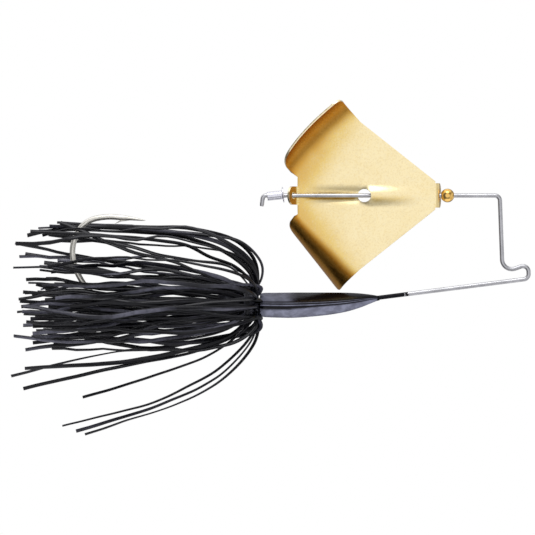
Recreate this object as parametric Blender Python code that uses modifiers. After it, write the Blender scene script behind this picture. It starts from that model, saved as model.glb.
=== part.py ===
"""Buzzbait: a weighted hook with a rubber skirt, and a propeller blade that spins on an overhead wire.

Frame: metres, origin in the line-tie bend, +X the way the lure swims, +Z up.
The wire form lies in the plane Y = 0 and the blade's shaft runs along X.
"""
import math

import bmesh
import bpy
from mathutils import Matrix, Vector

MM = 0.001

# Driving dimensions, in millimetres
WIRE_RADIUS = 0.5
SHAFT_Z = 17.9
SHAFT_FRONT_X = -4.95
SHAFT_TAIL_X = -60.0
NOSE_X = -33.6
NOSE_Z = -6.0
HUB_Z = -7.5
COLLAR_RADIUS = 1.25
COLLAR_END_X = -68.0
HEAD_REAR_X = -60.6
EYE_X = -46.0
EYE_RING_RADIUS = 1.45
HOOK_RADIUS = 0.66
CAST_GAP = 0.15

BLADE_X = -36.44
BLADE_THICKNESS = 0.5
BLADE_YAW_DEG = 4.5
BLADE_HOLE_RADIUS = 1.53
TAB_HOLE_RADIUS = 0.8

BEAD_X = -17.1
BEAD_RADIUS = 1.6
BEAD_BORE_RADIUS = 0.58

RIVET_X = -57.1
RIVET_LENGTH = 3.8
RIVET_RADIUS = 1.0
RIVET_BORE_RADIUS = 0.83
RIVET_FLANGE_RADIUS = 1.8
RIVET_FLANGE_THICKNESS = 0.25
RIVET_TILT_DEG = 6.0

STRAND_RADIUS = 0.35
BAND_X = -63.6
BAND_RING_RADIUS = 2.55
BAND_RADIUS = 0.4
SKIRT_FLATTEN = 0.85


# ---------------------------------------------------------------- scene and materials

def clear_scene():
    for obj in list(bpy.data.objects):
        bpy.data.objects.remove(obj, do_unlink=True)


def new_collection(name):
    collection = bpy.data.collections.new(name)
    bpy.context.scene.collection.children.link(collection)
    return collection


def new_material(name, colour, metallic, roughness):
    material = bpy.data.materials.new(name)
    material.use_nodes = True
    shader = material.node_tree.nodes["Principled BSDF"]
    shader.inputs["Base Color"].default_value = (*colour, 1.0)
    shader.inputs["Metallic"].default_value = metallic
    shader.inputs["Roughness"].default_value = roughness
    return material


def add_object(name, data, material, collection):
    obj = bpy.data.objects.new(name, data)
    if material is not None:
        data.materials.append(material)
    collection.objects.link(obj)
    return obj


def as_cutter(obj):
    obj.hide_render = True
    obj.display_type = "WIRE"
    return obj


def boolean(obj, other, operation):
    modifier = obj.modifiers.new(operation.lower(), "BOOLEAN")
    modifier.operation = operation
    modifier.solver = "EXACT"
    modifier.object = other


def smooth_shading(mesh, angle_deg=35.0):
    mesh.shade_smooth()
    mesh.set_sharp_from_angle(angle=math.radians(angle_deg))


# ---------------------------------------------------------------- paths

def rounded_path(corners, radii, arc_points=6):
    """Straight runs between corners in the XZ plane, with an arc of the given radius at each inner corner."""
    points = [Vector(corners[0])]
    for i in range(1, len(corners) - 1):
        corner = Vector(corners[i])
        back = (Vector(corners[i - 1]) - corner).normalized()
        ahead = (Vector(corners[i + 1]) - corner).normalized()
        half = back.angle(ahead) / 2.0
        centre = corner + (back + ahead).normalized() * (radii[i - 1] / math.sin(half))
        start = corner + back * (radii[i - 1] / math.tan(half))
        end = corner + ahead * (radii[i - 1] / math.tan(half))
        for k in range(arc_points + 1):
            spoke = (start - centre).slerp(end - centre, k / arc_points).normalized()
            points.append(centre + spoke * radii[i - 1])
    points.append(Vector(corners[-1]))
    return points


def smooth_path(knots, per_span=4):
    """Catmull-Rom curve through the knots."""
    knots = [Vector(k) for k in knots]
    padded = [2 * knots[0] - knots[1], *knots, 2 * knots[-1] - knots[-2]]
    points = []
    for i in range(1, len(padded) - 2):
        p0, p1, p2, p3 = padded[i - 1:i + 3]
        for k in range(per_span):
            t = k / per_span
            points.append(0.5 * (2 * p1 + (p2 - p0) * t + (2 * p0 - 5 * p1 + 4 * p2 - p3) * t ** 2
                                 + (3 * p1 - p0 - 3 * p2 + p3) * t ** 3))
    points.append(knots[-1])
    return points


def bezier_point(controls, t):
    s = 1.0 - t
    weights = (s ** 3, 3 * s * s * t, 3 * s * t * t, t ** 3)
    return tuple(sum(w * c[axis] for w, c in zip(weights, controls)) for axis in range(2))


# ---------------------------------------------------------------- shapes

def tube_curve(name, points, radius, sides_level=2, taper=None):
    """Curve data for a round wire through the points (in mm), with filled caps."""
    curve = bpy.data.curves.new(name, "CURVE")
    curve.dimensions = "3D"
    curve.bevel_depth = radius * MM
    curve.bevel_resolution = sides_level
    curve.use_fill_caps = True
    spline = curve.splines.new("POLY")
    spline.points.add(len(points) - 1)
    for i, point in enumerate(points):
        spline.points[i].co = (point[0] * MM, point[1] * MM, point[2] * MM, 1.0)
        spline.points[i].radius = 1.0 if taper is None else taper[i]
    return curve


def tube_mesh(name, points, radius, collection, material=None, sides_level=2, taper=None):
    """The same wire as a mesh with welded caps, so that it can be cut or can cut."""
    curve_object = add_object(name, tube_curve(name, points, radius, sides_level, taper), None, collection)
    bpy.context.view_layer.update()
    evaluated = curve_object.evaluated_get(bpy.context.evaluated_depsgraph_get())
    mesh = bpy.data.meshes.new_from_object(evaluated)
    bm = bmesh.new()
    bm.from_mesh(mesh)
    bmesh.ops.remove_doubles(bm, verts=bm.verts, dist=1e-6)
    bmesh.ops.recalc_face_normals(bm, faces=bm.faces)
    bm.to_mesh(mesh)
    bm.free()
    bpy.data.objects.remove(curve_object, do_unlink=True)
    mesh.name = name
    smooth_shading(mesh)
    return add_object(name, mesh, material, collection)


def turned(name, profile, collection, material, steps=32):
    """A closed (radius, height) profile in mm turned about local Z."""
    mesh = bpy.data.meshes.new(name)
    verts = [(r * MM, 0.0, h * MM) for r, h in profile]
    edges = [(i, (i + 1) % len(profile)) for i in range(len(profile))]
    mesh.from_pydata(verts, edges, [])
    obj = add_object(name, mesh, material, collection)
    screw = obj.modifiers.new("turn", "SCREW")
    screw.axis = "Z"
    screw.angle = 2 * math.pi
    screw.steps = steps
    screw.render_steps = steps
    screw.use_merge_vertices = True
    screw.merge_threshold = 0.00001
    screw.use_smooth_shade = True
    return obj


def torus(name, centre, ring_radius, tube_radius, axis, collection, material=None):
    bpy.ops.mesh.primitive_torus_add(major_radius=ring_radius * MM, minor_radius=tube_radius * MM,
                                     major_segments=28, minor_segments=10)
    obj = bpy.context.object
    obj.name = name
    obj.data.name = name
    for owner in list(obj.users_collection):
        owner.objects.unlink(obj)
    collection.objects.link(obj)
    obj.location = Vector(centre) * MM
    obj.rotation_euler = Vector((0, 0, 1)).rotation_difference(Vector(axis)).to_euler()
    if material is not None:
        obj.data.materials.append(material)
    obj.data.shade_smooth()
    return obj


def cylinder(name, centre, radius, length, axis, collection):
    bpy.ops.mesh.primitive_cylinder_add(vertices=32, radius=radius * MM, depth=length * MM)
    obj = bpy.context.object
    obj.name = name
    obj.data.name = name
    for owner in list(obj.users_collection):
        owner.objects.unlink(obj)
    collection.objects.link(obj)
    obj.location = Vector(centre) * MM
    obj.rotation_euler = Vector((0, 0, 1)).rotation_difference(Vector(axis)).to_euler()
    return obj


# ---------------------------------------------------------------- wire form

def wire_path():
    """From the hooked end in the head, out of the nose, round the line tie, up, and back along the shaft."""
    corners = [
        (EYE_X, 0, -9.1),
        (EYE_X, 0, NOSE_Z - 0.1),
        (NOSE_X - 1.4, 0, NOSE_Z - 0.1),
        (1.81, 0, -1.44),
        (1.67, 0, 2.0),
        (-4.3, 0, -0.15),
        (SHAFT_FRONT_X, 0, SHAFT_Z),
        (SHAFT_TAIL_X, 0, SHAFT_Z),
        (SHAFT_TAIL_X - 0.3, 0, SHAFT_Z - 2.5),
    ]
    radii = [0.9, 4.0, 1.28, 1.16, 1.4, 1.2, 0.8]
    return rounded_path(corners, radii)


def make_wire_form(collection, material):
    return add_object("wire_form", tube_curve("wire_form", wire_path(), WIRE_RADIUS), material, collection)


# ---------------------------------------------------------------- hook

TAPER_LENGTH = 6.0
TIP_SCALE = 0.12
BARB_ROUTE = [(-91.2, 0, 12.5), (-93.0, 0, 12.0), (-94.4, 0, 11.2)]
BARB_RADIUS = 0.32
BARB_TAPER = [1.0, 0.9, 0.15]


def hook_path():
    shank = [(x, 0, HUB_Z) for x in (EYE_X - EYE_RING_RADIUS - 0.2, -60.0, -74.0, -88.0)]
    bend = [
        (-94.5, 0, -7.1),
        (-99.8, 0, -4.7),
        (-103.1, 0, -0.2),
        (-104.3, 0, 4.6),
        (-103.3, 0, 9.0),
        (-100.6, 0, 11.9),
        (-96.6, 0, 12.9),
        (-92.0, 0, 12.7),
        (-87.3, 0, 12.1),
    ]
    return shank[:-1] + smooth_path([shank[-1], *bend], 4)


def hook_taper(points):
    """Full thickness, then a long taper over the last stretch to the point."""
    remaining = [0.0]
    for a, b in zip(points[:0:-1], points[-2::-1]):
        remaining.append(remaining[-1] + (Vector(a) - Vector(b)).length)
    remaining.reverse()
    return [min(1.0, TIP_SCALE + (1.0 - TIP_SCALE) * (r / TAPER_LENGTH) ** 0.7) for r in remaining]


def make_hook(collection, cutters, material):
    points = hook_path()
    hook = tube_mesh("hook", points, HOOK_RADIUS, collection, material, taper=hook_taper(points))
    eye = as_cutter(torus("hook_eye_shape", (EYE_X, 0, HUB_Z), EYE_RING_RADIUS, HOOK_RADIUS, (0, 0, 1), cutters))
    boolean(hook, eye, "UNION")
    barb = tube_mesh("hook_barb_shape", BARB_ROUTE, BARB_RADIUS, cutters, taper=BARB_TAPER)
    boolean(hook, as_cutter(barb), "UNION")
    return hook


# ---------------------------------------------------------------- head

# Stations from nose to rear: x, top, bottom, half-width, flatness of the facets
HEAD_STATIONS = [
    (NOSE_X, -5.35, -6.65, 0.75, 1.0),
    (-35.2, -5.1, -7.2, 1.4, 1.2),
    (-37.5, -4.85, -8.05, 2.25, 1.45),
    (-40.3, -4.7, -9.1, 3.1, 1.6),
    (-44.0, -4.65, -9.75, 3.9, 1.6),
    (-48.5, -4.65, -10.25, 4.5, 1.6),
    (-53.0, -4.65, -10.55, 4.9, 1.6),
    (-57.0, -4.7, -10.5, 4.9, 1.6),
    (-59.9, -4.75, -10.35, 4.7, 1.6),
    (HEAD_REAR_X, -5.05, -10.05, 4.3, 1.6),
]
RIDGE_SHARE = 0.6
SECTION_POINTS = 24


def head_section(x, top, bottom, half_width, flatness):
    """One ring of the head: two nearly flat facets a side that meet in a ridge; flatness 1 is an ellipse."""
    ridge = bottom + RIDGE_SHARE * (top - bottom)
    ring = []
    for k in range(SECTION_POINTS):
        angle = 2 * math.pi * k / SECTION_POINTS
        across = math.cos(angle)
        up = math.sin(angle)
        y = half_width * math.copysign(abs(across) ** flatness, across)
        rise = math.copysign(abs(up) ** flatness, up)
        z = ridge + rise * ((top - ridge) if up > 0 else (ridge - bottom))
        ring.append((x, y, z))
    return ring


def round_section(x, radius):
    return [(x, radius * math.cos(2 * math.pi * k / SECTION_POINTS),
             HUB_Z + radius * math.sin(2 * math.pi * k / SECTION_POINTS)) for k in range(SECTION_POINTS)]


def loft(name, rings, collection, material):
    """Closed body through rings of equal point counts, capped at both ends."""
    bm = bmesh.new()
    rows = [[bm.verts.new(Vector(p) * MM) for p in ring] for ring in rings]
    count = len(rows[0])
    for near, far in zip(rows, rows[1:]):
        for k in range(count):
            bm.faces.new((near[k], near[(k + 1) % count], far[(k + 1) % count], far[k]))
    bm.faces.new(rows[0])
    bm.faces.new(rows[-1])
    bmesh.ops.recalc_face_normals(bm, faces=bm.faces)
    mesh = bpy.data.meshes.new(name)
    bm.to_mesh(mesh)
    bm.free()
    smooth_shading(mesh)
    return add_object(name, mesh, material, collection)


def make_head(collection, cutters, material):
    rings = [head_section(*station) for station in HEAD_STATIONS]
    rings += [round_section(HEAD_REAR_X - 0.15, COLLAR_RADIUS), round_section(COLLAR_END_X, COLLAR_RADIUS)]
    head = loft("head", rings, collection, material)

    wire_room = wire_path()[:20]
    wire_room[0] = wire_room[0] - Vector((0, 0, CAST_GAP))
    wire_cut = tube_mesh("head_wire_room", wire_room, WIRE_RADIUS + CAST_GAP, cutters)
    eye_cut = torus("head_eye_room", (EYE_X, 0, HUB_Z), EYE_RING_RADIUS, HOOK_RADIUS + CAST_GAP, (0, 0, 1), cutters)
    shank_front = EYE_X - EYE_RING_RADIUS
    shank_back = COLLAR_END_X - 1.0
    shank_cut = cylinder("head_shank_room", ((shank_front + shank_back) / 2, 0, HUB_Z),
                         HOOK_RADIUS + CAST_GAP, shank_front - shank_back, (1, 0, 0), cutters)
    for cutter in (wire_cut, eye_cut, shank_cut):
        boolean(head, as_cutter(cutter), "DIFFERENCE")
    return head


# ---------------------------------------------------------------- blade

# Blade outline in its own frame: x along the shaft from the centre hole, z across
PLATE_REAR_X = -15.56
PLATE_FRONT_X = 16.5
STRIP_HALF = 3.3
BEND_ROOT = Vector((-15.53, 4.3))
BEND_TIP = Vector((-0.9, 17.1))
CURL_AXIS_DEG = 54.0
ROOT_ROUNDING = 4.2
TIP_ROUNDING = 1.9
# Each wing's bend: length at the root, at the tip, extra at mid span, angle at the lip, tightening, tip flare
UPPER_CURL = (6.0, 8.6, 1.5, 80.0, 1.5, 1.9)
LOWER_CURL = (5.0, 10.2, 0.0, 98.0, 1.2, 1.15)

TAB_BEND_RADIUS = 0.7
TAB_END_ROUND = 2.2
# Each tab: where it leaves the strip, which way it runs, its bend, its half-width, strip rows left out a side
REAR_TAB = (PLATE_REAR_X, -1, 65.0, 2.21, 2)
FRONT_TAB = (PLATE_FRONT_X, 1, 84.0, 2.76, 1)
REAR_HOLE_X = -17.0
FRONT_HOLE_X = 17.4

SPAN_STEPS = 22
TAB_STEPS = 8
FLAT_STEPS = 5
CURL_STEPS = 9
STRIP_STEPS = 12

CHANNEL_DEPTH = 1.05
CHANNEL_HALF_WIDTH = 3.0
CHANNEL_LENGTH = 12.0
CHANNEL_TURN = 1.3


def channel_offset(x, z):
    """Depth of the pressed channel: to +Y behind the hole and to -Y ahead of it."""
    if abs(z) >= CHANNEL_HALF_WIDTH or abs(x) >= CHANNEL_LENGTH:
        return 0.0
    across = math.cos(math.pi * z / (2 * CHANNEL_HALF_WIDTH)) ** 2
    along = (1.0 - abs(x) / CHANNEL_LENGTH) ** 0.8
    side = math.sin(math.pi / 2 * max(-1.0, min(1.0, x / CHANNEL_TURN)))
    return -CHANNEL_DEPTH * across * along * side


def curl_offsets(length, full_length, angle, power):
    """Offsets across and out of the plate after a bend that tightens towards the lip."""
    steps = 24
    across = out = 0.0
    for k in range(steps):
        fraction = (k + 0.5) / steps * length / full_length
        bend = angle * fraction ** power
        across += math.cos(bend) * length / steps
        out += math.sin(bend) * length / steps
    return across, out


def corner_trim(from_end, rounding):
    """How far a lip with this corner rounding draws back near its end."""
    if from_end >= rounding:
        return 0.0
    return rounding - math.sqrt(rounding ** 2 - (rounding - from_end) ** 2)


def wing_point(s, curl, shape):
    """A point of a wing: s runs root to tip along the bend, curl 0 to 1 from the bend to the lip."""
    root_length, tip_length, bow, lip_deg, power, flare = shape
    axis = Vector((math.cos(math.radians(CURL_AXIS_DEG)), math.sin(math.radians(CURL_AXIS_DEG))))
    outward = Vector((-axis.y, axis.x))
    full = root_length + (tip_length - root_length) * s + bow * 4 * s * (1 - s)
    bend_length = (BEND_TIP - BEND_ROOT).dot(axis)
    trimmed = corner_trim(s * bend_length, ROOT_ROUNDING) + corner_trim((1.0 - s) * bend_length, TIP_ROUNDING)
    reach = curl * (full - trimmed)
    across, out = curl_offsets(reach, full, math.radians(lip_deg), power)
    base = BEND_ROOT.lerp(BEND_TIP, s) + outward * across + axis * (flare * s ** 4 * reach / full)
    return Vector((base.x, -out, base.y))


def wing_rows(shape):
    """Rows of a wing, from the strip's edge out to the lip; each row runs rear to front."""
    rows = []
    for j in range(FLAT_STEPS + 1):
        row = []
        for i in range(SPAN_STEPS + 1):
            s = i / SPAN_STEPS
            inner = Vector((PLATE_REAR_X + (PLATE_FRONT_X - PLATE_REAR_X) * s, 0, STRIP_HALF))
            row.append(inner.lerp(wing_point(s, 0.0, shape), j / FLAT_STEPS))
        rows.append(row)
    for j in range(1, CURL_STEPS + 1):
        rows.append([wing_point(i / SPAN_STEPS, j / CURL_STEPS, shape) for i in range(SPAN_STEPS + 1)])
    return rows


def strip_rows():
    """Rows of the centre strip with its pressed channels, from the lower edge to the upper."""
    rows = []
    for j in range(STRIP_STEPS + 1):
        z = STRIP_HALF * (2 * j / STRIP_STEPS - 1)
        row = []
        for i in range(SPAN_STEPS + 1):
            x = PLATE_REAR_X + (PLATE_FRONT_X - PLATE_REAR_X) * i / SPAN_STEPS
            row.append(Vector((x, channel_offset(x, z), z)))
        rows.append(row)
    return rows


def tab_rows(base_x, side, bend_deg, half_width, skip):
    """Rows of a tab that bends out of the strip's end until its hole lies on the shaft."""
    bend = math.radians(bend_deg)
    arc = TAB_BEND_RADIUS * bend
    lift = TAB_BEND_RADIUS * (1 - math.cos(bend))
    hole_offset = abs(base_x) * math.tan(math.radians(BLADE_YAW_DEG))
    hole_length = arc + (hole_offset - lift) / math.sin(bend)
    rows = []
    for j in range(skip, STRIP_STEPS + 1 - skip):
        z = STRIP_HALF * (2 * j / STRIP_STEPS - 1)
        full = hole_length + TAB_END_ROUND * math.sqrt(max(0.0, 1 - (z / half_width) ** 2))
        row = []
        for k in range(TAB_STEPS + 1):
            length = full * k / TAB_STEPS
            turned_angle = min(length, arc) / TAB_BEND_RADIUS
            straight = max(0.0, length - arc)
            along = TAB_BEND_RADIUS * math.sin(turned_angle) + straight * math.cos(bend)
            out = TAB_BEND_RADIUS * (1 - math.cos(turned_angle)) + straight * math.sin(bend)
            row.append(Vector((base_x + side * along, side * out, z)))
        rows.append(row)
    return rows


def add_grid(bm, rows):
    verts = [[bm.verts.new(p * MM) for p in row] for row in rows]
    for low, high in zip(verts, verts[1:]):
        for i in range(len(low) - 1):
            bm.faces.new((low[i], low[i + 1], high[i + 1], high[i]))


def make_blade(collection, cutters, material):
    bm = bmesh.new()
    add_grid(bm, wing_rows(UPPER_CURL))
    half_turn = Matrix.Rotation(math.pi, 3, "X")
    add_grid(bm, [[half_turn @ p for p in row] for row in reversed(wing_rows(LOWER_CURL))])
    add_grid(bm, strip_rows())
    add_grid(bm, tab_rows(*REAR_TAB))
    add_grid(bm, tab_rows(*FRONT_TAB))
    bmesh.ops.remove_doubles(bm, verts=bm.verts, dist=0.01 * MM)
    bmesh.ops.recalc_face_normals(bm, faces=bm.faces)
    mesh = bpy.data.meshes.new("blade")
    bm.to_mesh(mesh)
    bm.free()
    smooth_shading(mesh)
    blade = add_object("blade", mesh, material, collection)
    solidify = blade.modifiers.new("sheet", "SOLIDIFY")
    solidify.thickness = BLADE_THICKNESS * MM
    solidify.offset = 0.0
    solidify.use_even_offset = True
    blade.location = Vector((BLADE_X, 0, SHAFT_Z)) * MM
    blade.rotation_euler = (0, 0, -math.radians(BLADE_YAW_DEG))

    centre = (BLADE_X, 0, SHAFT_Z)
    hole = as_cutter(cylinder("blade_centre_hole", centre, BLADE_HOLE_RADIUS, 6.0, (0, 1, 0), cutters))
    rear = as_cutter(cylinder("blade_rear_hole", (BLADE_X + REAR_HOLE_X, 0, SHAFT_Z), TAB_HOLE_RADIUS, 5.0,
                              (1, 0, 0), cutters))
    front = as_cutter(cylinder("blade_front_hole", (BLADE_X + FRONT_HOLE_X, 0, SHAFT_Z), TAB_HOLE_RADIUS, 4.0,
                               (1, 0, 0), cutters))
    for cutter in (hole, rear, front):
        boolean(blade, cutter, "DIFFERENCE")
    return blade


# ---------------------------------------------------------------- bead and rivet

def make_bead(collection, material):
    """A drilled ball."""
    steps = 14
    edge = math.asin(BEAD_BORE_RADIUS / BEAD_RADIUS)
    profile = []
    for k in range(steps + 1):
        angle = edge + (math.pi - 2 * edge) * k / steps
        profile.append((BEAD_RADIUS * math.sin(angle), BEAD_RADIUS * math.cos(angle)))
    bead = turned("bead", profile, collection, material)
    bead.location = Vector((BEAD_X, 0, SHAFT_Z)) * MM
    bead.rotation_euler = (0, math.pi / 2, 0)
    return bead


def make_rivet(collection, material):
    """A thin hollow rivet: a tube with a flange at its front end, tilted on the loose wire."""
    front = RIVET_LENGTH / 2
    back = -RIVET_LENGTH / 2
    profile = [
        (RIVET_BORE_RADIUS, front),
        (RIVET_FLANGE_RADIUS, front),
        (RIVET_FLANGE_RADIUS, front - RIVET_FLANGE_THICKNESS),
        (RIVET_RADIUS, front - RIVET_FLANGE_THICKNESS - 0.1),
        (RIVET_RADIUS, back),
        (RIVET_BORE_RADIUS, back),
    ]
    rivet = turned("rivet", profile, collection, material)
    rivet.location = Vector((RIVET_X, 0, SHAFT_Z)) * MM
    rivet.rotation_euler = (0, math.pi / 2 - math.radians(RIVET_TILT_DEG), 0)
    return rivet


# ---------------------------------------------------------------- skirt

def strand_points(start, bulge, belly, end, angle_deg, turn_deg=0.0, count=11):
    """A strand in a half-plane through the hub; start to end are (x, distance from the hub)."""
    points = []
    for k in range(count):
        t = (k / (count - 1)) ** 1.35
        x, r = bezier_point((start, bulge, belly, end), t)
        angle = math.radians(angle_deg + turn_deg * t)
        flatten = 1.0 + (SKIRT_FLATTEN - 1.0) * t
        points.append((x, -flatten * r * math.sin(angle), HUB_Z + r * math.cos(angle)))
    return points


def wave(i, step):
    """A repeatable value between -1 and 1, so that neighbours differ."""
    return math.sin(i * step)


def core_strands():
    """Straight inner strands that run back from under the band."""
    count = 10
    for i in range(count):
        angle = 25.0 + 310.0 * i / (count - 1)
        end_r = 3.9 + 0.5 * wave(i, 2.1)
        end_x = -111.0 - 4.0 * wave(i, 1.7)
        yield strand_points((-62.9, 1.72), (-70.0, 1.72), (-84.0, 3.4), (end_x, end_r), angle)


def middle_strands():
    """Strands that spread behind the band."""
    count = 16
    for i in range(count):
        angle = 20.0 + 320.0 * i / (count - 1)
        reach = 9.6 + 0.9 * math.cos(math.radians(angle)) + 0.9 * wave(i, 2.6)
        end_x = -112.5 - 4.5 * wave(i, 1.3)
        yield strand_points((-64.7, 2.6), (-66.5, 2.6 + 0.5 * reach), (-80.0, reach), (end_x, reach), angle)


def flared_strands():
    """Outer strands that leave ahead of the band, bow forwards and fold back over it."""
    per_side = 7
    for i in range(2 * per_side):
        side = 1 if i < per_side else -1
        angle = side * (11.0 + 20.8 * (i % per_side))
        reach = 15.2 + 2.4 * math.cos(math.radians(angle)) + 0.8 * wave(i, 2.3)
        end_x = -112.0 - 4.0 * wave(i, 1.9)
        yield strand_points((-62.2, 2.1), (-58.0, 0.75 * reach), (-72.0, 1.25 * reach), (end_x, 0.95 * reach), angle)


def drooping_strands():
    """The few strands that hang below the rest: angle, turn, belly and end."""
    droops = [
        (157.0, 14.0, (-72.0, 15.0), (-101.5, 21.5)),
        (180.0, 1.0, (-70.0, 21.0), (-106.5, 28.3)),
        (203.0, -15.0, (-70.0, 21.5), (-103.0, 29.8)),
    ]
    for angle, turn, belly, end in droops:
        yield strand_points((-62.2, 2.1), (-59.5, 9.0), belly, end, angle, turn)


def make_skirt(collection, rubber, band_rubber):
    routes = [*core_strands(), *middle_strands(), *flared_strands(), *drooping_strands()]
    for number, points in enumerate(routes, 1):
        name = f"skirt_strand_{number:02d}"
        add_object(name, tube_curve(name, points, STRAND_RADIUS, 1), rubber, collection)
    torus("skirt_band", (BAND_X, 0, HUB_Z), BAND_RING_RADIUS, BAND_RADIUS, (1, 0, 0), collection, band_rubber)


# ---------------------------------------------------------------- assembly

def main():
    clear_scene()
    parts = new_collection("buzzbait")
    cutters = new_collection("cutters")

    steel = new_material("stainless_wire", (0.62, 0.62, 0.65), 1.0, 0.28)
    nickel = new_material("nickel_hook", (0.72, 0.70, 0.64), 1.0, 0.32)
    paint = new_material("black_gloss_paint", (0.012, 0.013, 0.018), 0.0, 0.15)
    gold_sheet = new_material("gold_blade", (0.85, 0.66, 0.30), 1.0, 0.35)
    gold_bead = new_material("gold_bead", (0.80, 0.52, 0.16), 1.0, 0.12)
    aluminium = new_material("rivet_aluminium", (0.85, 0.86, 0.88), 1.0, 0.25)
    rubber = new_material("skirt_rubber", (0.014, 0.013, 0.018), 0.0, 0.38)
    band_rubber = new_material("band_rubber", (0.015, 0.015, 0.016), 0.0, 0.5)

    make_wire_form(parts, steel)
    make_hook(parts, cutters, nickel)
    make_head(parts, cutters, paint)
    make_blade(parts, cutters, gold_sheet)
    make_bead(parts, gold_bead)
    make_rivet(parts, aluminium)
    make_skirt(parts, rubber, band_rubber)


main()
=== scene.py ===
"""Looks of the buzzbait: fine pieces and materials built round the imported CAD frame.

Lengths are in millimetres unless a name says otherwise. +X is the way the lure swims and +Z is up.
"""
import math

import bmesh
import bpy
from mathutils import Matrix, Vector, noise

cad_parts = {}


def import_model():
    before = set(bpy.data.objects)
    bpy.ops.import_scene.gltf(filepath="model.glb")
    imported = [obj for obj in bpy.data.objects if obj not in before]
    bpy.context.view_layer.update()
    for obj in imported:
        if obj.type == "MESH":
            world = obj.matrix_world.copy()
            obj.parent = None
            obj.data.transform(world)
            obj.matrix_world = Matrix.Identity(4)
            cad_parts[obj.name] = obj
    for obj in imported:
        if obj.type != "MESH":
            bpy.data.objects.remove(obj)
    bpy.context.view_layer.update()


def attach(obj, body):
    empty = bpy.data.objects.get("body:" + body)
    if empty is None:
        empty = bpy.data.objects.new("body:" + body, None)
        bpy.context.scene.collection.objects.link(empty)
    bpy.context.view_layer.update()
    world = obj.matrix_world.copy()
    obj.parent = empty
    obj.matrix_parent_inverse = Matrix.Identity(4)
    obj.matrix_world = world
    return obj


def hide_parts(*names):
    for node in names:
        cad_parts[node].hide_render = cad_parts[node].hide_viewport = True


MM = 0.001

# Shared with the CAD
WIRE_RADIUS = 0.5
SHAFT_Z = 17.9
SHAFT_FRONT_X = -4.95
SHAFT_TAIL_X = -60.0
NOSE_X = -33.6
NOSE_Z = -6.0
HUB_Z = -7.5
COLLAR_RADIUS = 1.25
COLLAR_END_X = -68.0
HEAD_REAR_X = -60.6
EYE_X = -46.0
HOOK_RADIUS = 0.66

BLADE_X = -36.44
BLADE_THICKNESS = 0.5
BLADE_YAW_DEG = 4.5
BLADE_HOLE_RADIUS = 1.53
TAB_HOLE_RADIUS = 0.8

BEAD_X = -17.1
BEAD_RADIUS = 1.6
BEAD_BORE_RADIUS = 0.58

RIVET_X = -57.1
RIVET_LENGTH = 3.8
RIVET_RADIUS = 1.0
RIVET_BORE_RADIUS = 0.83
RIVET_FLANGE_RADIUS = 1.8
RIVET_FLANGE_THICKNESS = 0.25
RIVET_TILT_DEG = 6.0

STRAND_RADIUS = 0.35
BAND_X = -63.6
BAND_RING_RADIUS = 2.55
BAND_RADIUS = 0.4
SKIRT_FLATTEN = 0.85
CAD_STRANDS = 43

# Fixes the offsets of noise_vector, which otherwise follow the clock
NOISE_SEED = 7


# ---------------- node helpers

RANGE_SOCKETS = ("From Min", "From Max", "To Min", "To Max")


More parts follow.
